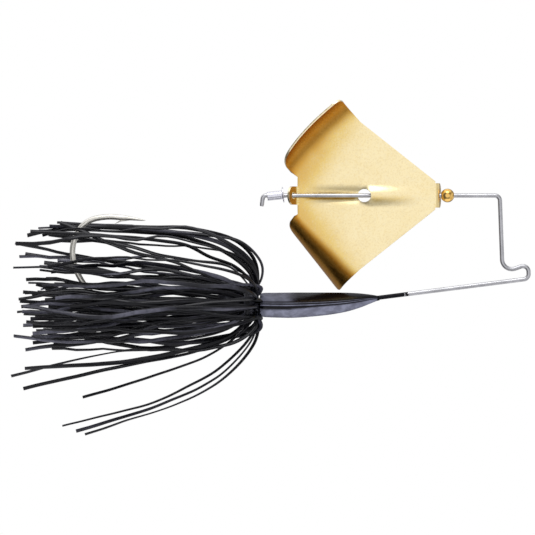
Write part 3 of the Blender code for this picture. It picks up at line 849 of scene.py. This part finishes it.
def tab_rows(base_x, side, bend_deg, half_width, skip, painted_shade):
    """Rows of (point, painted shade) of a tab that bends out of the strip's end, so the shaft meets its hole.
    """
    bend = math.radians(bend_deg)
    arc = TAB_BEND_RADIUS * bend
    lift = TAB_BEND_RADIUS * (1 - math.cos(bend))
    hole_offset = abs(base_x) * math.tan(math.radians(BLADE_YAW_DEG))
    hole_length = arc + (hole_offset - lift) / math.sin(bend)
    rows = []
    for j in range(skip, STRIP_STEPS + 1 - skip):
        z = STRIP_HALF * (2 * j / STRIP_STEPS - 1)
        full = hole_length + TAB_END_ROUND * math.sqrt(max(0.0, 1 - (z / half_width) ** 2))
        row = []
        for k in range(TAB_STEPS + 1):
            length = full * k / TAB_STEPS
            turned = min(length, arc) / TAB_BEND_RADIUS
            straight = max(0.0, length - arc)
            along = TAB_BEND_RADIUS * math.sin(turned) + straight * math.cos(bend)
            out = TAB_BEND_RADIUS * (1 - math.cos(turned)) + straight * math.sin(bend)
            point = Vector((base_x + side * along, side * out, z))
            row.append((point, TAB_SHADE + painted_shade * min(1.0, length / arc)))
        rows.append(row)
    return rows


def add_grid(bm, layer, rows, turn=None):
    """Faces over rows of (point, painted shade), turned about the shaft if asked."""
    verts = []
    for row in rows:
        line = []
        for point, painted_shade in row:
            vert = bm.verts.new((turn @ point if turn else point) * MM)
            vert[layer] = painted_shade
            line.append(vert)
        verts.append(line)
    for low, high in zip(verts, verts[1:]):
        for i in range(len(low) - 1):
            bm.faces.new((low[i], low[i + 1], high[i + 1], high[i]))


def hole_cutter(centre, radius, length, axis):
    bpy.ops.mesh.primitive_cylinder_add(vertices=64, radius=radius * MM, depth=length * MM)
    cutter = bpy.context.object
    cutter.location = Vector(centre) * MM
    cutter.rotation_euler = Vector((0, 0, 1)).rotation_difference(Vector(axis)).to_euler()
    return cutter


def blade_sheet():
    """The blade's middle surface, without thickness or holes."""
    bm = bmesh.new()
    # Each vertex holds its amount of painted shade for the gold material
    layer = bm.verts.layers.float.new("painted_shade")
    add_grid(bm, layer, wing_rows(UPPER_CURL, *UPPER_CURL_SHADE))
    add_grid(bm, layer, list(reversed(wing_rows(LOWER_CURL, *LOWER_CURL_SHADE))), Matrix.Rotation(math.pi, 3, "X"))
    add_grid(bm, layer, strip_rows())
    for tab in TABS:
        add_grid(bm, layer, tab_rows(*tab))
    bmesh.ops.remove_doubles(bm, verts=bm.verts, dist=0.01 * MM)
    return mesh_from("blade_fine", bm)


def make_blade(material, edge_material):
    mesh = blade_sheet()
    blade = bpy.data.objects.new("blade_fine", mesh)
    bpy.context.scene.collection.objects.link(blade)
    blade.location = Vector((BLADE_X, 0, SHAFT_Z)) * MM
    blade.rotation_euler = (0, 0, -math.radians(BLADE_YAW_DEG))
    solidify = blade.modifiers.new("sheet", "SOLIDIFY")
    solidify.thickness = BLADE_THICKNESS * MM
    solidify.offset = 0.0
    solidify.use_even_offset = True
    solidify.material_offset_rim = 1
    mesh.materials.append(material)
    mesh.materials.append(edge_material)
    cutters = [
        hole_cutter((BLADE_X, 0, SHAFT_Z), BLADE_HOLE_RADIUS, 6.0, (0, 1, 0)),
        hole_cutter((BLADE_X + REAR_HOLE_X, 0, SHAFT_Z), TAB_HOLE_RADIUS, 5.0, (1, 0, 0)),
        hole_cutter((BLADE_X + FRONT_HOLE_X, 0, SHAFT_Z), TAB_HOLE_RADIUS, 4.0, (1, 0, 0)),
    ]
    for cutter in cutters:
        boolean = blade.modifiers.new("hole", "BOOLEAN")
        boolean.operation = "DIFFERENCE"
        boolean.solver = "EXACT"
        boolean.object = cutter
    bevel = blade.modifiers.new("worn_edges", "BEVEL")
    bevel.width = EDGE_WEAR * MM
    bevel.segments = 2
    bevel.limit_method = "ANGLE"
    bevel.angle_limit = math.radians(50.0)
    apply_modifiers(blade)
    for cutter in cutters:
        bpy.data.objects.remove(cutter, do_unlink=True)
    blade.data.transform(blade.matrix_world)
    blade.matrix_world = Matrix.Identity(4)
    blade.data.shade_smooth()
    blade.data.set_sharp_from_angle(angle=math.radians(50.0))
    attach(blade, "blade")
    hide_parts("blade")


# ---------------- bead and rivet

TURNED_STEPS = 64
BEAD_STEPS = 36


def turned_mesh(name, profile, centre_x, tilt_deg):
    """A closed (radius, along) profile turned about an axis that lies near the shaft."""
    turn = Matrix.Rotation(math.pi / 2 - math.radians(tilt_deg), 3, "Y")
    centre = Vector((centre_x, 0, SHAFT_Z))
    bm = bmesh.new()
    rings = []
    for k in range(TURNED_STEPS):
        angle = 2 * math.pi * k / TURNED_STEPS
        ring = [turn @ Vector((r * math.cos(angle), r * math.sin(angle), h)) + centre for r, h in profile]
        rings.append([bm.verts.new(point * MM) for point in ring])
    skin_rings(bm, rings, looped=True)
    return mesh_from(name, bm, 35.0)


def make_bead(material):
    edge = math.asin(BEAD_BORE_RADIUS / BEAD_RADIUS)
    profile = []
    for k in range(BEAD_STEPS + 1):
        angle = edge + (math.pi - 2 * edge) * k / BEAD_STEPS
        profile.append((BEAD_RADIUS * math.sin(angle), BEAD_RADIUS * math.cos(angle)))
    mesh = turned_mesh("bead_fine", profile, BEAD_X, 0.0)
    add_piece("bead_fine", mesh, material, "bead", ["bead"])


def make_rivet(material):
    """A hollow barrel with its flange towards the blade, and small radii at the corners."""
    front = RIVET_LENGTH / 2
    back = -RIVET_LENGTH / 2
    inner_flange = front - RIVET_FLANGE_THICKNESS
    profile = [
        (RIVET_BORE_RADIUS, front - 0.05),
        (RIVET_BORE_RADIUS + 0.05, front),
        (RIVET_FLANGE_RADIUS - 0.08, front),
        (RIVET_FLANGE_RADIUS, front - 0.06),
        (RIVET_FLANGE_RADIUS, inner_flange + 0.06),
        (RIVET_FLANGE_RADIUS - 0.08, inner_flange),
        (RIVET_RADIUS + 0.12, inner_flange - 0.02),
        (RIVET_RADIUS, inner_flange - 0.14),
        (RIVET_RADIUS, back + 0.06),
        (RIVET_RADIUS - 0.05, back),
        (RIVET_BORE_RADIUS + 0.03, back),
        (RIVET_BORE_RADIUS, back + 0.05),
    ]
    mesh = turned_mesh("rivet_fine", profile, RIVET_X, RIVET_TILT_DEG)
    add_piece("rivet_fine", mesh, material, "rivet", ["rivet"])


# ---------------- skirt

# Points along a strand, and how flat its section is
STRAND_POINTS = 44
STRAND_SIDES = 12
STRAND_WIDTH = 1.32
STRAND_DEPTH = 0.62
SECTION_POWER = 0.6
# How far strands wander and how much painted slate sheen shows on them, for routes shared with the CAD and
# placed ones
ROUTE_WOBBLE = 2.4
PLACED_WOBBLE = 0.6
EXTRA_WOBBLE = 2.6
SHEEN = 0.9
PLACED_SHEEN = 0.3
GOLDEN_SHARE = 0.618


def bezier_point(controls, t):
    s = 1.0 - t
    weights = (s ** 3, 3 * s * s * t, 3 * s * t * t, t ** 3)
    return tuple(sum(w * c[axis] for w, c in zip(weights, controls)) for axis in range(2))


def strand_points(controls, angle_deg, turn_deg=0.0):
    """A strand at an angle round the hub, which may turn; controls are (x, distance from the hub)."""
    points = []
    for k in range(STRAND_POINTS):
        t = (k / (STRAND_POINTS - 1)) ** 1.2
        x, r = bezier_point(controls, t)
        angle = math.radians(angle_deg + turn_deg * t)
        flatten = 1.0 + (SKIRT_FLATTEN - 1.0) * t
        points.append(Vector((x, -flatten * r * math.sin(angle), HUB_Z + r * math.cos(angle))))
    return points


def wave(i, step):
    """A repeatable value between -1 and 1, so that neighbours differ."""
    return math.sin(i * step)


def core_strands():
    """Strands that run straight back inside."""
    count = 10
    for i in range(count):
        angle = 25.0 + 310.0 * i / (count - 1)
        end_r = 3.9 + 0.5 * wave(i, 2.1)
        end_x = -111.0 - 4.0 * wave(i, 1.7)
        yield strand_points([(-62.9, 1.72), (-70.0, 1.72), (-84.0, 3.4), (end_x, end_r)], angle)


def middle_strands():
    """Strands that spread behind the band."""
    count = 16
    for i in range(count):
        angle = 20.0 + 320.0 * i / (count - 1)
        reach = 9.6 + 0.9 * math.cos(math.radians(angle)) + 0.9 * wave(i, 2.6)
        end_x = -112.5 - 4.5 * wave(i, 1.3)
        controls = [(-64.7, 2.6), (-66.5, 2.6 + 0.5 * reach), (-80.0, reach), (end_x, reach)]
        yield strand_points(controls, angle)


def flared_strands():
    """Strands that bow forwards and fold back over the band."""
    per_side = 7
    for i in range(2 * per_side):
        side = 1 if i < per_side else -1
        angle = side * (11.0 + 20.8 * (i % per_side))
        reach = 15.2 + 2.4 * math.cos(math.radians(angle)) + 0.8 * wave(i, 2.3)
        end_x = -112.0 - 4.0 * wave(i, 1.9)
        controls = [(-62.2, 2.1), (-58.0, 0.75 * reach), (-72.0, 1.25 * reach), (end_x, 0.95 * reach)]
        yield strand_points(controls, angle)


def fan_strands():
    """Nearly straight strands that radiate from the band to the whole width of the fringe."""
    count = 20
    for i in range(count):
        angle = 14.0 + 152.0 * ((i * GOLDEN_SHARE) % 1.0)
        if i % 2:
            angle = -angle
        edge = 16.4 + 2.8 * math.cos(math.radians(angle))
        end_r = edge * (0.42 + 0.56 * ((i * 0.382 + 0.15) % 1.0))
        end_x = -110.5 - 6.0 * wave(i, 2.9)
        controls = [(-64.7, 2.5), (-68.0, 2.6 + 0.22 * end_r), (-86.0, 0.72 * end_r), (end_x, end_r)]
        yield strand_points(controls, angle, 44.0 * wave(i, 1.1))


def cover_strands():
    """Strands that leave ahead of the band and fold straight back over it, so that it hardly shows."""
    count = 15
    for i in range(count):
        angle = 6.0 + 360.0 * i / count + 5.0 * wave(i, 1.4)
        end_r = 6.5 + 4.6 * (0.5 + 0.5 * wave(i, 2.8))
        end_x = -111.0 - 5.5 * wave(i, 3.7)
        bulge = (-54.0, 10.0) if i % 2 else (-60.3, 5.2 + 0.7 * wave(i, 1.9))
        controls = [(-62.1, 2.2), bulge, (-76.0, 3.6 + 0.3 * end_r), (end_x, end_r)]
        yield strand_points(controls, angle, 48.0 * wave(i, 0.9))


def inner_strands():
    """Strands that fill the space between the core and the middle."""
    count = 6
    for i in range(count):
        angle = 20.0 + 55.0 * i
        end_r = 5.4 + 1.6 * wave(i, 2.4)
        end_x = -111.0 - 5.0 * wave(i, 2.2)
        controls = [(-64.7, 2.4), (-68.0, 3.6), (-86.0, 4.2), (end_x, end_r)]
        yield strand_points(controls, angle, 30.0 * wave(i, 1.6))


# Strands placed one by one: y at the tip, then (x, z) from just above or below the band to the tip
PLACED_LOOPS = [
    (3.4, [(-61.2, -1.2), (-62.5, 3.8), (-67.5, 8.1), (-77.5, 10.6), (-92.0, 10.4), (-108.5, 11.6)]),
    (2.2, [(-60.2, -0.8), (-60.9, 3.2), (-65.4, 7.3), (-72.0, 8.7), (-86.0, 9.8), (-109.6, 10.9)]),
    (3.0, [(-61.8, -0.9), (-64.6, 3.5), (-70.6, 7.2), (-80.5, 9.2), (-94.0, 10.2), (-112.0, 10.3)]),
    (4.6, [(-62.2, -1.6), (-65.4, 2.4), (-71.6, 6.0), (-82.0, 8.6), (-96.0, 9.6), (-112.4, 9.8)]),
    (-5.5, [(-63.0, -2.0), (-66.6, 1.4), (-72.3, 3.6), (-79.0, 6.9), (-92.0, 8.4), (-113.6, 9.6)]),
    (1.8, [(-63.6, -2.6), (-68.4, 1.7), (-75.8, 2.9), (-84.0, 4.4), (-93.0, 6.4), (-110.0, 9.0)]),
]
PLACED_DROOPS = [
    (-6.0, [(-62.0, -10.5), (-65.4, -14.2), (-71.4, -18.6), (-78.0, -21.7), (-90.6, -25.4), (-101.5, -28.9)]),
    (0.4, [(-60.9, -9.6), (-63.2, -15.4), (-69.2, -21.6), (-76.5, -26.2), (-86.8, -30.6), (-106.7, -35.6)]),
    (-0.8, [(-61.1, -10.0), (-62.8, -16.0), (-68.8, -22.8), (-75.8, -27.2), (-86.5, -31.9), (-103.4, -37.0)]),
    (1.6, [(-61.0, -10.4), (-62.0, -16.4), (-67.2, -23.0), (-74.0, -27.8), (-84.5, -32.3), (-101.7, -37.6)]),
    (-3.0, [(-62.6, -10.0), (-66.0, -14.4), (-76.0, -18.4), (-88.0, -20.8), (-102.0, -23.8), (-115.4, -27.2)]),
    (4.0, [(-62.6, -10.2), (-66.6, -14.6), (-77.0, -18.0), (-92.0, -18.6), (-104.0, -20.6), (-119.0, -24.1)]),
    (-5.0, [(-62.8, -10.0), (-68.0, -14.8), (-80.0, -18.6), (-93.0, -20.8), (-104.0, -21.6), (-115.0, -22.1)]),
]


def placed_route(tip_y, knots):
    """A smooth route from the hub through the knots, moving out to tip_y."""
    up = knots[0][1] > HUB_Z
    hub = Vector((-62.6, 0.3 * math.copysign(1.0, tip_y), HUB_Z + (2.0 if up else -2.0)))
    reach = knots[-1][0] - hub.x
    route = [hub] + [Vector((x, tip_y * min(1.0, 0.25 + (x - hub.x) / reach), z)) for x, z in knots]
    return resampled(smooth_path(route, 8), 1.4)


def wobbled(points, seed, amount):
    """A little soft waviness that grows away from the band."""
    out = []
    for point, at in zip(points, lengths_along(points)):
        grow = smoothstep(2.0, 30.0, at)
        drift = noise.noise_vector(Vector((at * 0.05, seed * 7.3, 0.0)))
        ripple = noise.noise_vector(Vector((at * 0.16, seed * 3.1, 5.0)))
        out.append(point + (drift * amount + ripple * amount * 0.25) * grow)
    return out


def make_strand(points, number, material, wobble, sheen):
    """A flat rubber strand that twists slowly along its length, cut square at the end."""
    name = f"strand_{number:02d}"
    nodes = [f"skirt_strand_{number:02d}"] if number <= CAD_STRANDS else []
    points = wobbled(points, number, wobble)
    width = STRAND_RADIUS * (STRAND_WIDTH + 0.16 * wave(number, 1.9))
    depth = STRAND_RADIUS * (STRAND_DEPTH + 0.10 * wave(number, 2.7))
    run = lengths_along(points)
    twist_from = 3.0 * wave(number, 4.7)
    twist_rate = 0.035 * wave(number, 3.3)

    def section(k, angle):
        c, s = math.cos(angle), math.sin(angle)
        u = width * math.copysign(abs(c) ** SECTION_POWER, c)
        v = depth * math.copysign(abs(s) ** SECTION_POWER, s)
        twist = twist_from + twist_rate * run[k]
        return u * math.cos(twist) - v * math.sin(twist), u * math.sin(twist) + v * math.cos(twist)

    mesh = tube(name, points, STRAND_SIDES, section, 55.0)
    # Painted sheen: slate laid in patches along the middle of the broad faces, where highlights fall
    share = sheen * smoothstep(0.1, 1.0, wave(number, 5.3))
    broad = [abs(math.sin(2 * math.pi * i / STRAND_SIDES)) for i in range(STRAND_SIDES)]
    painted_sheen = []
    for at in run:
        patch = smoothstep(-0.25, 0.35, noise.noise(Vector((at * 0.075, number * 5.9, 2.0))))
        painted_sheen += [share * patch * smoothstep(0.15, 0.85, face) for face in broad]
    point_values(mesh, "painted_sheen", painted_sheen)
    add_piece(name, mesh, material, "lure", nodes)


def make_skirt(material, band_material):
    """Numbered strands, the first of which stand for the CAD's, then what holds them."""
    shared = [*core_strands(), *middle_strands(), *flared_strands()]
    placed = [placed_route(*route) for route in PLACED_DROOPS + PLACED_LOOPS]
    extra = [*fan_strands(), *inner_strands(), *cover_strands()]
    looks = [(ROUTE_WOBBLE, SHEEN)] * len(shared)
    looks += [(PLACED_WOBBLE, PLACED_SHEEN)] * len(placed)
    looks += [(EXTRA_WOBBLE, SHEEN)] * len(extra)
    for number, (points, look) in enumerate(zip(shared + placed + extra, looks), 1):
        make_strand(points, number, material, *look)
    make_bundle(material)
    make_band(band_material)


# Stations of the gripped bundle: x and radius
BUNDLE = [(-60.9, 1.7), (-61.3, 2.3), (-62.6, 2.65), (-64.4, 2.7),
          (-66.4, 3.1), (-68.6, 3.2), (-70.2, 2.6), (-70.8, 1.4)]
BUNDLE_STRANDS = 16
BUNDLE_GROOVE = 0.32
BUNDLE_SHEEN = 0.25


def make_bundle(material):
    """The strands where the band grips them: a ribbed sleeve round the collar."""
    bm = bmesh.new()
    steps = BUNDLE_STRANDS * 10
    rings = []
    for x, radius in smooth_rows(BUNDLE, 5):
        ring = []
        for i in range(steps):
            angle = 2 * math.pi * i / steps
            rib = abs(math.sin(BUNDLE_STRANDS * angle / 2 + 0.15 * (x - BAND_X))) ** 0.6
            point = round_point(x, radius - BUNDLE_GROOVE * (1.0 - rib), angle)
            ring.append(bm.verts.new(point * MM))
        rings.append(ring)
    skin_rings(bm, rings)
    mesh = mesh_from("strand_bundle", bm, 60.0)
    # An even painted sheen over the whole sleeve
    point_values(mesh, "painted_sheen", [BUNDLE_SHEEN] * (len(rings) * steps))
    add_piece("strand_bundle", mesh, material, "lure", [])


BAND_STEPS = 96
BAND_SIDES = 20
BAND_DENTS = 23
BAND_DENT = 0.03
BAND_FLATNESS = 1.25


def make_band(material):
    """The ring that grips the strands on the collar, squashed a little flat and dented by them."""
    bm = bmesh.new()
    rings = []
    for k in range(BAND_STEPS):
        angle = 2 * math.pi * k / BAND_STEPS
        squeeze = 1.0 + BAND_DENT * math.sin(angle * BAND_DENTS)
        ring = []
        for i in range(BAND_SIDES):
            turn = 2 * math.pi * i / BAND_SIDES
            x = BAND_X + BAND_FLATNESS * BAND_RADIUS * math.sin(turn)
            radius = BAND_RING_RADIUS * squeeze + BAND_RADIUS * math.cos(turn)
            ring.append(bm.verts.new(round_point(x, radius, angle) * MM))
        rings.append(ring)
    skin_rings(bm, rings, looped=True)
    add_piece("band_fine", mesh_from("band_fine", bm), material, "lure", ["skirt_band"])


# ---------------- stage

CAMERA_DISTANCE = 900.0
FRAME_WIDTH = 124.4
FRAME_CENTRE = (-58.95, 1.16)
SENSOR_WIDTH = 36.0

FLOOR_CENTRE = (-59.0, 0.0, -160.0)
FLOOR_RADIUS = 600.0

SOFTBOX_PLACE = (-60.0, -260.0, 480.0)
SOFTBOX_TARGET = (-59.0, 0.0, 0.0)
SOFTBOX_SIZE = (360.0, 260.0)
SOFTBOX_POWER = 1.1
SOFTBOX_COLOUR = (0.97, 0.97, 1.0)


def make_camera():
    data = bpy.data.cameras.new("camera")
    data.sensor_width = SENSOR_WIDTH
    data.lens = SENSOR_WIDTH * CAMERA_DISTANCE / FRAME_WIDTH
    data.clip_start = 0.01
    data.clip_end = 20.0
    camera = bpy.data.objects.new("camera", data)
    camera.location = Vector((FRAME_CENTRE[0], -CAMERA_DISTANCE, FRAME_CENTRE[1])) * MM
    camera.rotation_euler = (math.pi / 2, 0, 0)
    bpy.context.scene.collection.objects.link(camera)
    bpy.context.scene.camera = camera


def make_softbox():
    data = bpy.data.lights.new("top_softbox", "AREA")
    data.shape = "RECTANGLE"
    data.size = SOFTBOX_SIZE[0] * MM
    data.size_y = SOFTBOX_SIZE[1] * MM
    data.energy = SOFTBOX_POWER
    data.color = SOFTBOX_COLOUR
    light = bpy.data.objects.new("top_softbox", data)
    light.location = Vector(SOFTBOX_PLACE) * MM
    aim = Vector(SOFTBOX_TARGET) * MM - light.location
    light.rotation_euler = aim.to_track_quat("-Z", "Y").to_euler()
    light.visible_camera = False
    bpy.context.scene.collection.objects.link(light)


def make_floor(material):
    """A round of pale paper below the lure; reflections see the light tent instead of it."""
    bm = bmesh.new()
    bmesh.ops.create_circle(bm, cap_ends=True, segments=96, radius=FLOOR_RADIUS * MM)
    mesh = mesh_from("floor", bm)
    floor = bpy.data.objects.new("floor", mesh)
    floor.location = Vector(FLOOR_CENTRE) * MM
    mesh.materials.append(material)
    bpy.context.scene.collection.objects.link(floor)
    floor.visible_glossy = False


TENT_COLOUR = (0.94, 0.94, 1.0, 1.0)
TENT_BASE = 0.18
# Bright parts of the tent: direction, full within, gone beyond (degrees), gain
TENT_LOBES = [
    ((0.0, 0.0, 1.0), 25.0, 60.0, 1.0),
    ((0.0, 0.0, -1.0), 15.0, 45.0, 1.1),
    ((0.0, -1.0, 0.0), 18.0, 50.0, 0.97),
    ((0.0, 0.86, 0.51), 15.0, 45.0, 0.35),
    ((0.96, 0.0, -0.28), 25.0, 65.0, 0.75),
    ((-0.80, 0.20, 0.56), 15.0, 40.0, 0.70),
    ((-0.55, 0.72, -0.42), 30.0, 60.0, 0.24),
]


def tent_strength(tree):
    """The tent's brightness by direction: a dim base and the bright lobes added to it."""
    place = tree.nodes.new("ShaderNodeTexCoord")
    total = None
    for direction, full_deg, gone_deg, gain in TENT_LOBES:
        facing = tree.nodes.new("ShaderNodeVectorMath")
        facing.operation = "DOT_PRODUCT"
        facing.inputs[1].default_value = Vector(direction).normalized()
        tree.links.new(place.outputs["Generated"], facing.inputs[0])
        lobe = tree.nodes.new("ShaderNodeMapRange")
        lobe.interpolation_type = "SMOOTHSTEP"
        limits = (math.cos(math.radians(gone_deg)), math.cos(math.radians(full_deg)), 0.0, gain)
        for socket, number in zip(RANGE_SOCKETS, limits):
            lobe.inputs[socket].default_value = number
        tree.links.new(facing.outputs["Value"], lobe.inputs["Value"])
        add = tree.nodes.new("ShaderNodeMath")
        add.inputs[0].default_value = TENT_BASE
        if total is not None:
            tree.links.new(total, add.inputs[0])
        tree.links.new(lobe.outputs["Result"], add.inputs[1])
        total = add.outputs["Value"]
    return total


def make_world():
    """White to the camera, and a light tent in reflections that is bright above, below and in front."""
    world = bpy.data.worlds.new("light_tent")
    bpy.context.scene.world = world
    world.use_nodes = True
    tree = world.node_tree
    tree.nodes.clear()
    output = tree.nodes.new("ShaderNodeOutputWorld")
    seen = tree.nodes.new("ShaderNodeBackground")
    seen.inputs["Color"].default_value = (1.0, 1.0, 1.0, 1.0)
    tent = tree.nodes.new("ShaderNodeBackground")
    tent.inputs["Color"].default_value = TENT_COLOUR
    tree.links.new(tent_strength(tree), tent.inputs["Strength"])
    path = tree.nodes.new("ShaderNodeLightPath")
    choose = tree.nodes.new("ShaderNodeMixShader")
    tree.links.new(path.outputs["Is Camera Ray"], choose.inputs["Fac"])
    tree.links.new(tent.outputs["Background"], choose.inputs[1])
    tree.links.new(seen.outputs["Background"], choose.inputs[2])
    tree.links.new(choose.outputs["Shader"], output.inputs["Surface"])


def make_stage():
    make_camera()
    make_world()
    make_floor(floor_material())
    make_softbox()
    scene = bpy.context.scene
    scene.view_settings.view_transform = "Standard"
    scene.view_settings.look = "None"


# ---------------- main

def main():
    noise.seed_set(NOISE_SEED)
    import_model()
    make_stage()
    make_wire_form(wire_material())
    nickel = hook_material()
    make_hook(nickel)
    make_barb(nickel)
    make_head(head_material())
    make_blade(gold_sheet_material(), gold_edge_material())
    make_bead(bead_material())
    make_rivet(rivet_material())
    make_skirt(rubber_material("skirt_rubber_fine", (0.0015, 0.0015, 0.002), (0.006, 0.006, 0.009), 0.17),
               rubber_material("band_rubber_fine", (0.012, 0.012, 0.013), (0.03, 0.03, 0.034), 0.5))


main()
